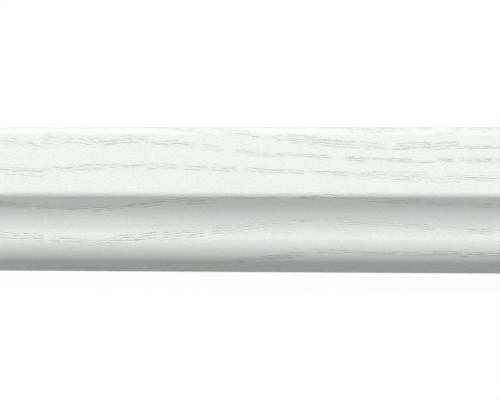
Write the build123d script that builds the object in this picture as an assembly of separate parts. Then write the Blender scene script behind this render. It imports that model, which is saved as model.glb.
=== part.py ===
from build123d import *
import os
from math import cos, radians, sin

# Cornice moulding: one length of milled and wrapped stock, cut square at both ends.
# It lies on its flat back, as it would on a floor or a rack, with its face up.
# X runs along the stock, +Y points to the moulding's top edge and +Z out of its face.
# The origin is the middle of the flat back.
# From the top edge down, the face is an upright fascia, a short splay that runs back
# under it, a hollow cove, a convex roll, a short bevel that the roll runs out in and,
# underneath, the narrow seat that stands on the cabinet. From splay to bevel each meets
# the next without an edge, so that the film can follow.

# Lengths in mm
stock_length = 2400.0
stock_depth = 38.0  # the board that the section is milled from, back to fascia
fascia_height = 23.4
splay_height = 3.6
cove_height = 10.6
roll_height = 8.8
bevel_height = 3.6

# Tilt of the face from upright, in degrees, leaning back towards the foot
splay_tilt = 46.0
waist_tilt = 3.0  # where the cove turns into the roll
bevel_tilt = 58.0

# Eased edges: the film breaks if it is folded over a sharp one
head_radius = 3.0
drip_radius = 3.0  # the edge under the fascia
foot_radius = 1.0
back_radius = 0.8

face_height = fascia_height + splay_height + cove_height + roll_height + bevel_height
head = face_height / 2
foot = -face_height / 2

# Each curve's radius follows from the height that it climbs between its two tilts
splay_length = splay_height / cos(radians(splay_tilt))
cove_radius = cove_height / (sin(radians(splay_tilt)) - sin(radians(waist_tilt)))
roll_radius = roll_height / (sin(radians(bevel_tilt)) - sin(radians(waist_tilt)))
bevel_length = bevel_height / cos(radians(bevel_tilt))


def eased(section, corner, radius):
    """Rounds the one corner of the section that lies at this place."""
    return fillet(section.vertices().sort_by_distance(corner)[0], radius)


def moulding_section():
    """The closed outline across the stock: each line starts where the last one ends."""
    with BuildSketch(Plane.YZ) as section:
        with BuildLine():
            fascia = Line((head, stock_depth), (head - fascia_height, stock_depth))
            splay = PolarLine(fascia @ 1, splay_length, 180 + splay_tilt)
            cove = JernArc(splay @ 1, splay % 1, cove_radius, waist_tilt - splay_tilt)
            roll = JernArc(cove @ 1, cove % 1, roll_radius, bevel_tilt - waist_tilt)
            bevel = PolarLine(roll @ 1, bevel_length, 180 + bevel_tilt)
            seat = Line(bevel @ 1, (foot, 0))
            back = Line(seat @ 1, (head, 0))
            Line(back @ 1, fascia @ 0)
        make_face()
        eased(section, fascia @ 0, head_radius)
        eased(section, fascia @ 1, drip_radius)
        eased(section, bevel @ 1, foot_radius)
        eased(section, seat @ 1, back_radius)
        eased(section, back @ 1, back_radius)
    return section.sketch


def cornice_moulding():
    """The section run along the whole length, half of it to each side of the origin."""
    return extrude(moulding_section(), amount=stock_length / 2, both=True)


os.makedirs("parts", exist_ok=True)
export_step(cornice_moulding(), "parts/cornice_moulding.step")
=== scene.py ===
# %% [markdown]
# # A cornice moulding
# The object is one length of cornice moulding: board milled to a section, wrapped all
# round its face in white film with a wood grain, and cut square at both ends. It lies on
# its flat back with its face up, and the camera looks down on the middle of its length.
# The frame holds the moulding's solid in metres. This script makes the piece that shows,
# its finish, a floor, the lamps and the camera.

from math import cos, pi, radians, sin, tan

import bmesh
import bpy
from mathutils import Matrix, Vector


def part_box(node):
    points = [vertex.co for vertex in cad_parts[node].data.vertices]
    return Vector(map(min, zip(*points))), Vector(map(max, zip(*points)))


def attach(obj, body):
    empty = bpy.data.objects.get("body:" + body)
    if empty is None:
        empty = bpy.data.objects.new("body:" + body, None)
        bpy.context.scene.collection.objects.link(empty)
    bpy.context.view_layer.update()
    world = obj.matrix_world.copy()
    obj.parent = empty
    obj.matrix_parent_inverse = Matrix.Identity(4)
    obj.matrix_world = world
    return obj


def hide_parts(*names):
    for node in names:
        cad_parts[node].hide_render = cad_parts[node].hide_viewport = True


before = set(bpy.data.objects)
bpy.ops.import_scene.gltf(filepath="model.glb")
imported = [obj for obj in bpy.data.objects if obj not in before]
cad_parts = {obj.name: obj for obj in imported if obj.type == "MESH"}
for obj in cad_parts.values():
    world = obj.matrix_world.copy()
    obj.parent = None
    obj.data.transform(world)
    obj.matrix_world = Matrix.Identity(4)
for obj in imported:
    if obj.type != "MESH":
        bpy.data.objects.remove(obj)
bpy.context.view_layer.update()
stock_low, stock_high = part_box("cornice_moulding")
print("stock", [round(side * 1000, 2) for side in stock_high - stock_low], "mm")

# %% [markdown]
# ## The section
# A section like this could be a curve with a profile, a spin, or a bevel on a box. Here a
# pen walks round it, because that is how it is dimensioned: straight runs and bends, each
# tangent to the last. The pen pulls a vertex along with extrude for a run and turns it
# with spin for a bend. It notes how far it has walked at each vertex, and the wood grain
# of the film uses that distance later, since the film was a flat sheet before it was
# wrapped.

# %% Sizes of the section, in metres
mm = 0.001
fascia_height = 23.4 * mm
splay_height = 3.6 * mm
cove_height = 10.6 * mm
roll_height = 8.8 * mm
bevel_height = 3.6 * mm
splay_tilt = radians(46)
waist_tilt = radians(3)
bevel_tilt = radians(58)
head_radius = 3.0 * mm
drip_radius = 3.0 * mm
foot_radius = 1.0 * mm
back_radius = 0.8 * mm
film_lap = 9.0 * mm  # how far the film is folded onto the back at both edges
bend_step = radians(3)  # the arcs are this fine

head, foot = stock_high.y, stock_low.y
depth, length = stock_high.z, stock_high.x - stock_low.x
splay_length = splay_height / cos(splay_tilt)
cove_radius = cove_height / (sin(splay_tilt) - sin(waist_tilt))
roll_radius = roll_height / (sin(bevel_tilt) - sin(waist_tilt))
bevel_length = bevel_height / cos(bevel_tilt)
drip_tangent = drip_radius * tan(splay_tilt / 2)
foot_tangent = foot_radius * tan((pi / 2 - bevel_tilt) / 2)
cove_run = cove_radius * (cos(waist_tilt) - cos(splay_tilt))
roll_run = roll_radius * (cos(waist_tilt) - cos(bevel_tilt))
splay_run, bevel_run = splay_height * tan(splay_tilt), bevel_height * tan(bevel_tilt)
seat_depth = depth - splay_run - cove_run - roll_run - bevel_run
print("cove radius", round(cove_radius / mm, 2), "mm, roll radius", round(roll_radius / mm, 2))
print("seat", round(seat_depth / mm, 2), "mm deep")


# %% The pen
class Pen:
    """Draws an outline across the stock: `at` is its last vertex, `way` its heading."""

    def __init__(self, bm, y, z):
        self.bm = bm
        self.walked = bm.verts.layers.float.new("girth")
        self.at = bm.verts.new((stock_low.x, y, z))
        self.way = 0.0  # along +Y, and counter-clockwise from there

    def run(self, distance):
        """A straight part."""
        step = bmesh.ops.extrude_vert_indiv(self.bm, verts=[self.at])
        girth = self.at[self.walked] + distance
        self.at = step["verts"][0]
        self.at[self.walked] = girth
        bmesh.ops.translate(
            self.bm, verts=[self.at], vec=(0, distance * cos(self.way), distance * sin(self.way))
        )

    def bend(self, radius, turn):
        """An arc that starts along the heading and turns it. A positive turn goes left."""
        side = pi / 2 if turn > 0 else -pi / 2
        centre = self.at.co + radius * Vector((0, cos(self.way + side), sin(self.way + side)))
        pieces = max(2, round(abs(turn) / bend_step))
        for _ in range(pieces):
            girth = self.at[self.walked] + radius * abs(turn) / pieces
            step = bmesh.ops.spin(
                self.bm, geom=[self.at], cent=centre, axis=(1, 0, 0), angle=turn / pieces, steps=1
            )
            self.at = step["geom_last"][0]
            self.at[self.walked] = girth
        self.way += turn


# %% The moulding's mesh
bm = bmesh.new()
pen = Pen(bm, head - film_lap, stock_low.z)
first = pen.at
pen.run(film_lap - back_radius)
pen.bend(back_radius, pi / 2)
pen.run(depth - back_radius - head_radius)
face_start = pen.at[pen.walked] + head_radius * pi / 4  # the face begins half-way round
pen.bend(head_radius, pi / 2)
pen.run(fascia_height - head_radius - drip_tangent)
pen.bend(drip_radius, splay_tilt)
pen.run(splay_length - drip_tangent)
pen.bend(cove_radius, waist_tilt - splay_tilt)
pen.bend(roll_radius, bevel_tilt - waist_tilt)
pen.run(bevel_length - foot_tangent)
pen.bend(foot_radius, pi / 2 - bevel_tilt)
pen.run(seat_depth - foot_tangent - back_radius)
pen.bend(back_radius, pi / 2)
pen.run(film_lap - back_radius)
film_girth = pen.at[pen.walked]
print("film", round(film_girth / mm, 1), "mm wide, face from", round(face_start / mm, 1), "mm")
bm.edges.new((pen.at, first))  # the strip of the back that the film leaves bare
section = bmesh.ops.contextual_create(bm, geom=list(bm.edges))["faces"]
area = section[0].calc_area() / mm**2
print("outline of", len(section[0].verts), "points, area", round(area, 1), "mm2")

# %% [markdown]
# The section is pulled out to the full length. Two cuts divide it into thirds: they don't
# change the shape, and they give the flat picture of the film three rows to lie in.

# %% Pull the section out
thirds = 3
pulled = bmesh.ops.extrude_face_region(bm, geom=section)["geom"]
bmesh.ops.translate(
    bm, verts=[v for v in pulled if isinstance(v, bmesh.types.BMVert)], vec=(length, 0, 0)
)
for cut in range(1, thirds):
    bmesh.ops.bisect_plane(
        bm,
        geom=list(bm.verts) + list(bm.edges) + list(bm.faces),
        plane_co=(stock_low.x + length * cut / thirds, 0, 0),
        plane_no=(1, 0, 0),
    )
bmesh.ops.recalc_face_normals(bm, faces=list(bm.faces))
print(len(bm.faces), "faces, volume", round(bm.calc_volume() / (10 * mm) ** 3, 1), "cm3")

# %% [markdown]
# The saw shows the film as a thin rim round the board. It could be a picture on the end,
# but an inset makes it exact, and the board inside it and the strip of the back between
# the laps get a material of their own.

# %% Film and bare board
film_thickness = 0.3 * mm


def is_sawn_end(face):
    """An end of the stock, with its rim of film."""
    return abs(face.normal.x) > 0.5


def is_bare_back(face):
    """The strip of the back between the film's two laps."""
    return face.normal.z < -0.5 and abs(face.calc_center_median().y) < head - film_lap


ends = [face for face in bm.faces if is_sawn_end(face)]
bmesh.ops.inset_individual(bm, faces=ends, thickness=film_thickness, use_even_offset=True)
back_strips = [face for face in bm.faces if is_bare_back(face)]
for face in ends + back_strips:
    face.material_index = 1
print(len(ends), "ends and", len(back_strips), "strips of the back are bare board")

# %% [markdown]
# ## The flat picture of the surface
# When the finish is baked to a picture, each part of the surface needs its own place in
# it. Unwrapping a thin bar automatically would leave most of the picture empty. Here the
# film lies flat in three rows, one for each third of the length, and the bare strip of
# the back and the two sawn ends share the rest.

# %% Lay the surface out flat
film_share = 0.9  # of the picture's height, for the three rows of film
row_height = film_share / thirds
strip_height = (1 - film_share) / thirds
strip_width = 0.7  # of the picture's width, for the bare strip of the back
strip_gap = 0.15  # of a strip's height, left free below and above it
right_end_start, left_end_start = 0.72, 0.86  # of the picture's width
end_scale = 1.6  # picture widths for a metre
margin = 0.006  # left free round each part, in picture widths or row heights
layout = bm.loops.layers.uv.new("OFBake")


def inside_margin(share):
    """Moves a share of a row in from both its edges."""
    return share * (1 - 2 * margin) + margin


def place_in_picture(face):
    """Gives each corner of a face its place in the flat picture."""
    thirds_along = (face.calc_center_median().x - stock_low.x) / length * thirds
    third = min(thirds - 1, int(thirds_along))
    for loop in face.loops:
        corner = loop.vert.co
        along = inside_margin((corner.x - stock_low.x) / length * thirds - third)
        if is_sawn_end(face):
            start = right_end_start if face.normal.x > 0 else left_end_start
            right = start + (corner.y - foot) * end_scale
            up = film_share + margin + corner.z * end_scale
        elif is_bare_back(face):
            share = (corner.y - foot - film_lap) / (head - foot - 2 * film_lap)
            right = along * strip_width
            up = film_share + (third + strip_gap + (1 - 2 * strip_gap) * share) * strip_height
        else:
            right = along
            up = (third + inside_margin(loop.vert[pen.walked] / film_girth)) * row_height
        loop[layout].uv = (right, up)


for face in bm.faces:
    place_in_picture(face)
    face.smooth = True
corners = [loop[layout].uv for face in bm.faces for loop in face.loops]
picture_right, picture_top = max(uv.x for uv in corners), max(uv.y for uv in corners)
print("picture used up to", round(picture_right, 3), "and", round(picture_top, 3))

# %% The finished piece
mesh = bpy.data.meshes.new("cornice_moulding_wrapped")
bm.to_mesh(mesh)
bm.free()
mesh.set_sharp_from_angle(angle=radians(30))
moulding = bpy.data.objects.new("cornice_moulding_wrapped", mesh)
bpy.context.scene.collection.objects.link(moulding)
even = moulding.modifiers.new("flats_stay_flat", "WEIGHTED_NORMAL")
even.keep_sharp = True
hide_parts("cornice_moulding")
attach(moulding, "root")
print(moulding.name, len(mesh.polygons), "faces")


# %% [markdown]
# ## Helpers for the finishes
# Colours are written as the hex values that a colour picker shows, and shaders want them
# linear. A node is added with its settings, and each of its sockets gets either a link or
# a number. Sockets that have no name of their own, as in Math, are counted from 0.


# %% Colours and nodes
def colour(code):
    """An sRGB hex colour as the linear numbers that shaders take."""
    parts = [int(code[i : i + 2], 16) / 255 for i in (1, 3, 5)]
    return [c / 12.92 if c <= 0.04045 else ((c + 0.055) / 1.055) ** 2.4 for c in parts] + [1.0]


def add(tree, kind, sockets=None, **settings):
    """Adds a node, sets it, and fills its sockets with links or values."""
    made = tree.nodes.new(kind)
    for name, value in settings.items():
        setattr(made, name, value)
    for name, value in (sockets or {}).items():
        if isinstance(value, bpy.types.NodeSocket):
            tree.links.new(value, made.inputs[name])
        else:
            made.inputs[name].default_value = value
    return made


# %% [markdown]
# ## The film
# The face is wrapped in PVC film, printed and embossed as open-grained ash under white
# paint. In ash, each ring of growth starts with a row of wide pores. Cut along the board,
# the pores are short dashes, the rows wander, and between them the wood is smooth. The
# paint turns all of it white, and dirt and shade leave the pores beige.
# The film could be unwrapped by hand or projected from above, but a projection would
# stretch it on the steep parts. So it reads the distance that the pen walked, as flat
# film does when it is wrapped, and the length along the stock. Both are in millimetres,
# so that the grain can be sized from real wood.

# %% The film's own two directions
film = bpy.data.materials.new("pvc_film_white_ash")
film.use_nodes = True
grain = film.node_tree
place = add(grain, "ShaderNodeTexCoord").outputs["Object"]
along = add(grain, "ShaderNodeSeparateXYZ", {0: place}).outputs["X"]
along = add(grain, "ShaderNodeMath", {0: along, 1: 1 / mm}, operation="MULTIPLY").outputs[0]
walked = add(grain, "ShaderNodeAttribute", attribute_name="girth").outputs["Fac"]
across = add(
    grain, "ShaderNodeMath", {0: walked, 1: 1 / mm, 2: -face_start / mm}, operation="MULTIPLY_ADD"
).outputs[0]
film_place = add(grain, "ShaderNodeCombineXYZ", {0: along, 1: across}).outputs[0]
print("across the film: 0 at the head, up to", round((film_girth - face_start) / mm), "mm")

# %% [markdown]
# ## The rows of growth
# A board is seldom sawn straight along the tree, so its rows bend, and not all alike: near
# the head they bend one way early, and towards the foot the bends change their places and
# their strength. So the film is straightened bend by bend. In each bend the rows fall
# towards the foot, or rise, between two places along the stock. It grows to its full size
# between two girths, so the rows nearer the foot have it and those nearer the head don't.
# The bends cover the part that the picture shows, and beyond it the rows wander by noise.

# %% Bend the rows
bends = [  # mm: the girths that it grows between, its start and end along X, its fall
    (-60, -50, -50, 50, 11.0),
    (0, 12, -70, 50, -8.5),
    (12, 28, -50, 30, -8.5),
    (12, 28, 20, 100, 5.5),
    (12, 40, -105, -45, 2.5),
    (28, 60, -25, 95, -13.5),
]
straight = across
for from_girth, to_girth, start, end, fall in bends:
    share = min(max(-start / (end - start), 0.0), 1.0)
    in_middle = fall * share * share * (3 - 2 * share)  # the rows keep their place at X = 0
    size = add(
        grain,
        "ShaderNodeMapRange",
        {"Value": along, "From Min": start, "From Max": end,
         "To Min": -in_middle, "To Max": fall - in_middle},
        interpolation_type="SMOOTHSTEP",
    ).outputs[0]
    grown = add(
        grain, "ShaderNodeMapRange", {"Value": across, "From Min": from_girth, "From Max": to_girth}
    ).outputs[0]
    bend = add(grain, "ShaderNodeMath", {0: size, 1: grown}, operation="MULTIPLY").outputs[0]
    straight = add(grain, "ShaderNodeMath", {0: straight, 1: bend}, operation="SUBTRACT").outputs[0]
print(len(bends), "bends, the largest of", max(abs(bend[-1]) for bend in bends), "mm")

# %% [markdown]
# A noise has no size of its own, so a Mapping node before it shrinks the millimetres: a
# scale of 1 / 210 and 1 / 90 gives waves 210 mm long and 90 mm wide. All the noises of the
# film are sized in this way.

# %% Let them wander elsewhere
seen_half = 85.0  # mm: the picture shows this much of the stock to each side of its middle
wander_reach, wander_height = 240.0, 26.0  # mm
from_middle = add(grain, "ShaderNodeMath", {0: along}, operation="ABSOLUTE").outputs[0]
far = add(
    grain,
    "ShaderNodeMapRange",
    {"Value": from_middle, "From Min": seen_half, "From Max": wander_reach,
     "To Min": 0.0, "To Max": wander_height},
    interpolation_type="SMOOTHSTEP",
).outputs[0]
wander_place = add(
    grain, "ShaderNodeMapping", {"Vector": film_place, "Scale": (1 / 210, 1 / 90, 1)}
).outputs[0]
wander = add(
    grain,
    "ShaderNodeTexNoise",
    {"Vector": wander_place, "Scale": 1.0, "Detail": 1.0},
    noise_dimensions="2D",
).outputs["Fac"]
wander = add(grain, "ShaderNodeMath", {0: wander, 1: 0.5}, operation="SUBTRACT").outputs[0]
film_rows = add(
    grain, "ShaderNodeMath", {0: wander, 1: far, 2: straight}, operation="MULTIPLY_ADD"
).outputs[0]

# %% Waver by a fraction of a millimetre
waver_height = 1.5  # mm, and a noise uses about half of it
smooth_rows = add(grain, "ShaderNodeCombineXYZ", {0: along, 1: film_rows}).outputs[0]
waver_place = add(
    grain, "ShaderNodeMapping", {"Vector": smooth_rows, "Scale": (1 / 11, 1 / 5, 1)}
).outputs[0]
waver = add(
    grain,
    "ShaderNodeTexNoise",
    {"Vector": waver_place, "Scale": 1.0, "Detail": 1.0},
    noise_dimensions="2D",
).outputs["Fac"]
waver = add(grain, "ShaderNodeMath", {0: waver, 1: 0.5}, operation="SUBTRACT").outputs[0]
film_rows = add(
    grain, "ShaderNodeMath", {0: waver, 1: waver_height, 2: film_rows}, operation="MULTIPLY_ADD"
).outputs[0]
rows_place = add(grain, "ShaderNodeCombineXYZ", {0: along, 1: film_rows}).outputs[0]

# %% [markdown]
# The rows lie closer together near the head. A curve turns the girth into a count of rows:
# it is a whole number on each row, so what is left after rounding is the distance to it.

# %% Space the rows
row_places = [  # the girth of each row in mm and its count, between the ends of the curve
    (-50, -6.6), (2.6, 0), (8.1, 1), (13.8, 2), (23.7, 3), (36, 4), (48.7, 5), (60, 6), (90, 8.4)
]
low_girth, high_girth = row_places[0][0], row_places[-1][0]
low_count, high_count = -7, 9
rows_share = add(
    grain,
    "ShaderNodeMapRange",
    {"Value": film_rows, "From Min": low_girth, "From Max": high_girth},
).outputs[0]
spacing = add(grain, "ShaderNodeFloatCurve", {"Value": rows_share})
curve = spacing.mapping.curves[0]
for _ in row_places[1:-1]:
    curve.points.new(0.5, 0.5)
for point, (girth, count) in zip(curve.points, row_places):
    point.location = (
        (girth - low_girth) / (high_girth - low_girth),
        (count - low_count) / (high_count - low_count),
    )
    point.handle_type = "VECTOR"
spacing.mapping.update()
counted = add(
    grain,
    "ShaderNodeMapRange",
    {"Value": spacing.outputs[0], "To Min": low_count, "To Max": high_count},
).outputs[0]
row_number = add(grain, "ShaderNodeMath", {0: counted}, operation="ROUND").outputs[0]
off_row = add(grain, "ShaderNodeMath", {0: counted, 1: row_number}, operation="SUBTRACT").outputs[0]
head_pitch, foot_pitch = 5.5, 11.6  # mm from one row to the next
pitch = add(
    grain,
    "ShaderNodeMapRange",
    {"Value": film_rows, "From Min": 6.0, "From Max": 24.0,
     "To Min": head_pitch, "To Max": foot_pitch},
).outputs[0]
off_row = add(grain, "ShaderNodeMath", {0: off_row, 1: pitch}, operation="MULTIPLY").outputs[0]
print("rows", head_pitch, "mm apart near the head and", foot_pitch, "mm near the foot")

# %% [markdown]
# ## The pores
# The pores of a row stand close together in strokes of 10 to 20 mm. A stroke is a bundle
# of one to three thin lines, it tapers at both ends, and the next one steps sideways a
# little. The cells of a Voronoi pattern give the strokes: each cell has random numbers for
# its step, its width and its darkness, and the distance to its edge gives the taper. The
# lines repeat across the row, waver, and break where a noise is low. Each line is a thin
# beige print in the middle of a wider groove. In ash the widest pores are 0.3 mm, too fine
# to show here, so a line stands for two or three pores side by side.

# %% Waver and breaks within a stroke
fine_waver_height = 0.5  # mm
fine_place = add(
    grain, "ShaderNodeMapping", {"Vector": rows_place, "Scale": (1 / 1.4, 1 / 0.9, 1)}
).outputs[0]
fine_waver = add(
    grain,
    "ShaderNodeTexNoise",
    {"Vector": fine_place, "Scale": 1.0, "Detail": 1.5},
    noise_dimensions="2D",
).outputs["Fac"]
fine_waver = add(
    grain,
    "ShaderNodeMath",
    {0: fine_waver, 1: fine_waver_height, 2: -fine_waver_height / 2},
    operation="MULTIPLY_ADD",
).outputs[0]
off_row = add(grain, "ShaderNodeMath", {0: off_row, 1: fine_waver}, operation="ADD").outputs[0]
break_place = add(
    grain, "ShaderNodeMapping", {"Vector": rows_place, "Scale": (1 / 2.4, 1 / 0.5, 1)}
).outputs[0]
breaks = add(
    grain,
    "ShaderNodeTexNoise",
    {"Vector": break_place, "Scale": 1.0, "Detail": 1.0},
    noise_dimensions="2D",
).outputs["Fac"]
broken_below, whole_above = 0.40, 0.56  # of the noise
breaks = add(
    grain,
    "ShaderNodeMapRange",
    {"Value": breaks, "From Min": broken_below, "From Max": whole_above},
).outputs[0]

# %% The cells of the strokes
taper_share = 0.1  # of a stroke's length, at each end
row_line = add(grain, "ShaderNodeCombineXYZ", {0: along, 1: row_number}).outputs[0]


def stroke_cells(stroke_length, row_key):
    """Three random numbers for each stroke, and the taper at its ends."""
    stroke_place = add(
        grain, "ShaderNodeMapping", {"Vector": row_line, "Scale": (1 / stroke_length, row_key, 1)}
    ).outputs[0]
    cells = add(
        grain,
        "ShaderNodeTexVoronoi",
        {"Vector": stroke_place, "Scale": 1.0},
        voronoi_dimensions="2D",
    ).outputs["Color"]
    chances = add(grain, "ShaderNodeSeparateColor", {0: cells}).outputs
    to_stroke_end = add(
        grain,
        "ShaderNodeTexVoronoi",
        {"Vector": stroke_place, "Scale": 1.0},
        voronoi_dimensions="2D",
        feature="DISTANCE_TO_EDGE",
    ).outputs["Distance"]
    taper = add(
        grain,
        "ShaderNodeMapRange",
        {"Value": to_stroke_end, "From Min": 0.0, "From Max": taper_share},
        interpolation_type="SMOOTHSTEP",
    ).outputs[0]
    return chances, taper


# %% The place and body of a bundle
narrow_half, wide_half, edge_blur = 0.3, 1.1, 0.3  # mm: half of a bundle's width, its edge
faintest, darkest = 0.3, 0.85  # the strokes differ, between these
faint_until, dark_from = 0.8, 1.5  # of a stroke's random number, less the weight of its kind


def off_bundle(chances, stroke_step):
    """The distance across the film to the middle of the bundle, in mm."""
    stepped = add(
        grain,
        "ShaderNodeMath",
        {0: chances["Green"], 1: stroke_step, 2: off_row},
        operation="MULTIPLY_ADD",
    ).outputs[0]
    return add(
        grain, "ShaderNodeMath", {0: stepped, 1: stroke_step / 2}, operation="SUBTRACT"
    ).outputs[0]


def bundle_body(chances, taper, off_middle, weight):
    """The darkness of the bundle, with soft edges, and 0 beside it."""
    half_width = add(
        grain,
        "ShaderNodeMapRange",
        {"Value": chances["Blue"], "To Min": narrow_half, "To Max": wide_half},
    ).outputs[0]
    half_width = add(
        grain, "ShaderNodeMath", {0: half_width, 1: taper}, operation="MULTIPLY"
    ).outputs[0]
    beside = add(grain, "ShaderNodeMath", {0: off_middle}, operation="ABSOLUTE").outputs[0]
    beside = add(
        grain, "ShaderNodeMath", {0: beside, 1: half_width}, operation="SUBTRACT"
    ).outputs[0]
    body = add(
        grain,
        "ShaderNodeMapRange",
        {"Value": beside, "From Min": 0.0, "From Max": edge_blur, "To Min": 1.0, "To Max": 0.0},
        interpolation_type="SMOOTHSTEP",
    ).outputs[0]
    dark = add(
        grain,
        "ShaderNodeMapRange",
        {"Value": chances["Red"], "From Min": faint_until - weight,
         "From Max": dark_from - weight, "To Min": faintest, "To Max": darkest},
    ).outputs[0]
    strength = add(grain, "ShaderNodeMath", {0: dark, 1: taper}, operation="MULTIPLY").outputs[0]
    return add(grain, "ShaderNodeMath", {0: body, 1: strength}, operation="MULTIPLY").outputs[0]


# %% The lines in a bundle
line_gap = 0.85  # mm from line to line
print_half, print_end = 0.05, 0.13  # mm from a line's middle: full up to here, gone from here
groove_end = 0.34  # a groove is deepest in its middle


def lines_across(chances, off_middle, broken, full_to, gone_from):
    """Lines that repeat across a bundle, as strong as `broken` says."""
    off_line = add(
        grain, "ShaderNodeMath", {0: off_middle, 1: chances["Red"]}, operation="ADD"
    ).outputs[0]
    off_line = add(
        grain, "ShaderNodeMath", {0: off_line, 1: line_gap / 2}, operation="PINGPONG"
    ).outputs[0]
    lines = add(
        grain,
        "ShaderNodeMapRange",
        {"Value": off_line, "From Min": full_to, "From Max": gone_from,
         "To Min": 1.0, "To Max": 0.0},
        interpolation_type="SMOOTHSTEP",
    ).outputs[0]
    return add(grain, "ShaderNodeMath", {0: lines, 1: broken}, operation="MULTIPLY").outputs[0]


# %% Long strokes and short ones
stroke_kinds = [  # length and sideways step in mm, weight, and cells from one row to the next
    (18.0, 1.1, 1.0, 5.83),
    (12.0, 2.2, 0.8, 2.71),
]
drawn = []
for stroke_length, stroke_step, weight, row_key in stroke_kinds:
    chances, taper = stroke_cells(stroke_length, row_key)
    off_middle = off_bundle(chances, stroke_step)
    body = bundle_body(chances, taper, off_middle, weight)
    broken = add(grain, "ShaderNodeMath", {0: body, 1: breaks}, operation="MULTIPLY").outputs[0]
    printed = lines_across(chances, off_middle, broken, print_half, print_end)
    sunk = lines_across(chances, off_middle, broken, 0.0, groove_end)
    drawn.append((body, printed, sunk))
inside, pores, grooves = [
    add(grain, "ShaderNodeMath", {0: long, 1: short}, operation="MAXIMUM").outputs[0]
    for long, short in zip(*drawn)
]
print(len(drawn), "kinds of stroke, lines", line_gap, "mm apart")

# %% [markdown]
# ## Colour and relief of the film
# White paint film is a cool white with a trace of green, a little warmer in the strokes,
# and the pores are a pale grey beige. They are embossed, which gives each line a dark
# upper edge and a light lower one under a lamp from above. The emboss of a real film is a
# few hundredths of a millimetre deep, and here it is drawn deeper so that it shows. The
# surface between the pores is satin, and the pores are duller.

# %% Film colours
blotch_place = add(
    grain, "ShaderNodeMapping", {"Vector": film_place, "Scale": (1 / 26, 1 / 7, 1)}
).outputs[0]
blotches = add(
    grain,
    "ShaderNodeTexNoise",
    {"Vector": blotch_place, "Scale": 1.0, "Detail": 3.0},
    noise_dimensions="2D",
).outputs["Fac"]
blotches = add(
    grain, "ShaderNodeMapRange", {"Value": blotches, "From Min": 0.35, "From Max": 0.65}
).outputs[0]
speck_place = add(
    grain, "ShaderNodeMapping", {"Vector": film_place, "Scale": (1 / 1.1, 1 / 0.6, 1)}
).outputs[0]
specks = add(
    grain,
    "ShaderNodeTexNoise",
    {"Vector": speck_place, "Scale": 1.0, "Detail": 2.0},
    noise_dimensions="2D",
).outputs["Fac"]
specks = add(
    grain,
    "ShaderNodeMapRange",
    {"Value": specks, "From Min": 0.3, "From Max": 0.7, "To Max": 0.8},
).outputs[0]
whitest = "#F0F4F1"
film_colour = colour(whitest)
for pattern, most, code in (  # the pattern, the most that it changes the colour, its colour
    (blotches, 1.0, "#EDF2F2"),  # a trace bluer
    (specks, 1.0, "#E8ECE9"),  # the dull spots of the emboss
    (inside, 0.4, "#E3E6DF"),  # warmer within a stroke
    (pores, 0.65, "#D0D5CA"),  # grey beige
):
    share = add(grain, "ShaderNodeMath", {0: pattern, 1: most}, operation="MULTIPLY").outputs[0]
    film_colour = add(
        grain,
        "ShaderNodeMix",
        {"Factor": share, "A": film_colour, "B": colour(code)},
        data_type="RGBA",
    ).outputs["Result"]

# %% Film relief and gloss
emboss_depth = 0.145 * mm
speck_height = 0.18  # of the pores' depth
emboss = add(
    grain, "ShaderNodeMath", {0: specks, 1: speck_height}, operation="MULTIPLY"
).outputs[0]
emboss = add(grain, "ShaderNodeMath", {0: emboss, 1: grooves}, operation="SUBTRACT").outputs[0]
relief = add(
    grain, "ShaderNodeBump", {"Height": emboss, "Distance": emboss_depth, "Strength": 1.0}
).outputs["Normal"]
satin, dull = 0.55, 0.7
gloss = add(
    grain, "ShaderNodeMapRange", {"Value": pores, "To Min": satin, "To Max": dull}
).outputs[0]
surface = grain.nodes["Principled BSDF"]
grain.links.new(film_colour, surface.inputs["Base Color"])
grain.links.new(gloss, surface.inputs["Roughness"])
grain.links.new(relief, surface.inputs["Normal"])
surface.inputs["Specular IOR Level"].default_value = 0.2  # the emboss dulls the film
surface.inputs["IOR"].default_value = 1.53  # PVC
mesh.materials.append(film)
print("film:", len(grain.nodes), "nodes, white", whitest)

# %% [markdown]
# ## The board
# MDF is pressed from wood fibre: a dull tan, speckled with fibres, darker where it is
# densest, close to both faces of the board. The speckles could be a picture, but noise
# holds up from any distance. A single fibre is too fine to show, so the flecks are drawn
# as bundles of fibres, about half a millimetre wide.

# %% Bare MDF
board = bpy.data.materials.new("bare_mdf")
board.use_nodes = True
fibre = board.node_tree
spot = add(fibre, "ShaderNodeTexCoord").outputs["Object"]
flecks_per_metre, clouds_per_metre = 1800.0, 120.0
cloud_share = 0.4  # beside the flecks
fleck = add(
    fibre,
    "ShaderNodeTexNoise",
    {"Vector": spot, "Scale": flecks_per_metre, "Detail": 3.0, "Roughness": 0.6},
).outputs["Fac"]
cloud = add(
    fibre, "ShaderNodeTexNoise", {"Vector": spot, "Scale": clouds_per_metre, "Detail": 2.0}
).outputs["Fac"]
fleck = add(
    fibre, "ShaderNodeMath", {0: cloud, 1: cloud_share, 2: fleck}, operation="MULTIPLY_ADD"
).outputs[0]
fleck = add(
    fibre, "ShaderNodeMapRange", {"Value": fleck, "From Min": 0.5, "From Max": 0.9}
).outputs[0]
board_tan = add(
    fibre,
    "ShaderNodeMix",
    {"Factor": fleck, "A": colour("#A5855F"), "B": colour("#C6A981")},
    data_type="RGBA",
).outputs["Result"]
up_through = add(fibre, "ShaderNodeSeparateXYZ", {0: spot}).outputs["Z"]
from_core = add(
    fibre, "ShaderNodeMath", {0: up_through, 1: depth / 2}, operation="SUBTRACT"
).outputs[0]
from_core = add(fibre, "ShaderNodeMath", {0: from_core}, operation="ABSOLUTE").outputs[0]
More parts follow.
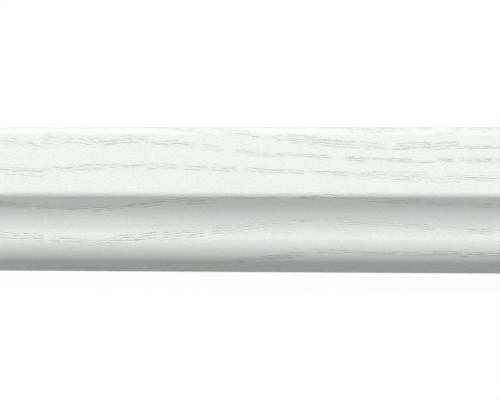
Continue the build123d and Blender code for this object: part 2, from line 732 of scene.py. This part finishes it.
dense = add(
    fibre,
    "ShaderNodeMapRange",
    {"Value": from_core, "From Min": depth * 0.3, "From Max": depth * 0.5, "To Max": 0.55},
    interpolation_type="SMOOTHSTEP",
).outputs[0]
board_colour = add(
    fibre,
    "ShaderNodeMix",
    {"Factor": dense, "A": board_tan, "B": colour("#8E6F4C")},
    data_type="RGBA",
).outputs["Result"]
rough = add(
    fibre, "ShaderNodeBump", {"Height": fleck, "Distance": 0.06 * mm, "Strength": 1.0}
).outputs["Normal"]
sawn = fibre.nodes["Principled BSDF"]
fibre.links.new(board_colour, sawn.inputs["Base Color"])
fibre.links.new(rough, sawn.inputs["Normal"])
sawn.inputs["Roughness"].default_value = 0.9
sawn.inputs["Specular IOR Level"].default_value = 0.2
mesh.materials.append(board)
print("board:", len(fibre.nodes), "nodes")

# %% [markdown]
# ## The floor
# A plain white floor. For the camera it is mixed from two surfaces: a plain white that the
# lamps don't change, and a twentieth of a lit one, so that a trace of the moulding's
# shadow stays on it.

# %% Floor
def plain_share(tree, share):
    """The share of plain white in what the camera and a mirrored ray see, 0 for the rest."""
    rays = add(tree, "ShaderNodeLightPath").outputs
    seen = 0.0
    for kind in ("Is Camera Ray", "Is Glossy Ray", "Is Transmission Ray"):
        seen = add(tree, "ShaderNodeMath", {0: seen, 1: rays[kind]}, operation="ADD").outputs[0]
    return add(
        tree, "ShaderNodeMath", {0: seen, 1: share}, operation="MULTIPLY", use_clamp=True
    ).outputs[0]


floor_size = 20  # metres
bpy.ops.mesh.primitive_plane_add(size=floor_size)
floor = bpy.context.object
floor.name = "floor"
floor_white = bpy.data.materials.new("white_studio_floor")
floor_white.use_nodes = True
floor.data.materials.append(floor_white)
sheet = floor_white.node_tree
lit = sheet.nodes["Principled BSDF"]
lit.inputs["Base Color"].default_value = colour("#D4D4D4")
lit.inputs["Roughness"].default_value = 0.9
lit.inputs["Specular IOR Level"].default_value = 0.0
plain = add(sheet, "ShaderNodeEmission", {"Color": colour("#FFFFFF"), "Strength": 1.03}).outputs[0]
unlit = plain_share(sheet, 0.95)
shown = add(sheet, "ShaderNodeMixShader", {0: unlit, 1: lit.outputs[0], 2: plain}).outputs[0]
sheet.links.new(shown, sheet.nodes["Material Output"].inputs["Surface"])
print("floor", floor_size, "m wide")

# %% [markdown]
# ## Lamps
# A short lamp would light the middle of the stock and leave its ends dark. So both lamps
# are strips, twice as long as the stock. The strong one hangs nearly overhead, a little to
# the head side, and the weak one lower on that side. The fascia takes nearly all of their
# light, the cove lies in the fascia's shade, and the roll turns out of the light towards
# the foot. The light of the room is weak and a little blue, as it is in a studio by day,
# so the shaded parts are cooler than the fascia.

# %% Lamps and room light
lamp_distance, lamp_width = 1.5, 0.3  # metres
lamp_length = 2 * length
for name, tilt, watts in (("overhead", 21, 44.0), ("head_side", 55, 6.0)):
    light = bpy.data.lights.new(name, "AREA")
    light.shape = "RECTANGLE"
    light.size, light.size_y = lamp_length, lamp_width
    light.energy = watts
    light.color = colour("#FFFEFC")[:3]
    lamp = bpy.data.objects.new(name, light)
    bpy.context.scene.collection.objects.link(lamp)
    spot = Matrix.Rotation(radians(-tilt), 4, "X") @ Vector((0, 0, lamp_distance))
    towards = spot.to_track_quat("Z", "Y").to_matrix().to_4x4()
    lamp.matrix_world = Matrix.Translation(spot) @ towards
    print(name, "lamp:", watts, "W, tilted by", tilt, "degrees")
world = bpy.data.worlds.new("room")
bpy.context.scene.world = world
world.use_nodes = True
room = world.node_tree
soft = room.nodes["Background"]
soft.inputs["Color"].default_value = colour("#EEF6FB")
soft.inputs["Strength"].default_value = 0.08
bright = add(room, "ShaderNodeBackground", {"Color": colour("#FFFFFF"), "Strength": 1.0}).outputs[0]
unlit = plain_share(room, 1.0)
shown = add(room, "ShaderNodeMixShader", {0: unlit, 1: soft.outputs[0], 2: bright}).outputs[0]
room.links.new(shown, room.nodes["World Output"].inputs["Surface"])

# %% [markdown]
# ## The camera
# A long lens half a metre above the face shows 170 mm of the length. It looks almost
# straight down. It stands a little to the right of the middle and looks back to it, so the
# stock looks slightly narrower on the left, as it does in the photograph.

# %% Camera
camera_data = bpy.data.cameras.new("camera")
camera_data.lens = 100.0  # mm
camera_data.clip_start, camera_data.clip_end = 0.01, 100
camera = bpy.data.objects.new("camera", camera_data)
bpy.context.scene.collection.objects.link(camera)
bpy.context.scene.camera = camera
above_face, footwards = 0.4728, 0.017  # metres
look_headwards, look_left, tip = radians(2.046), radians(3.438), radians(0.172)
camera.matrix_world = (
    Matrix.Translation((above_face * tan(look_left), -footwards, depth + above_face))
    @ Matrix.Rotation(look_headwards, 4, "X")
    @ Matrix.Rotation(look_left, 4, "Y")
    @ Matrix.Rotation(tip, 4, "Z")
)
bpy.context.scene.view_settings.view_transform = "Standard"
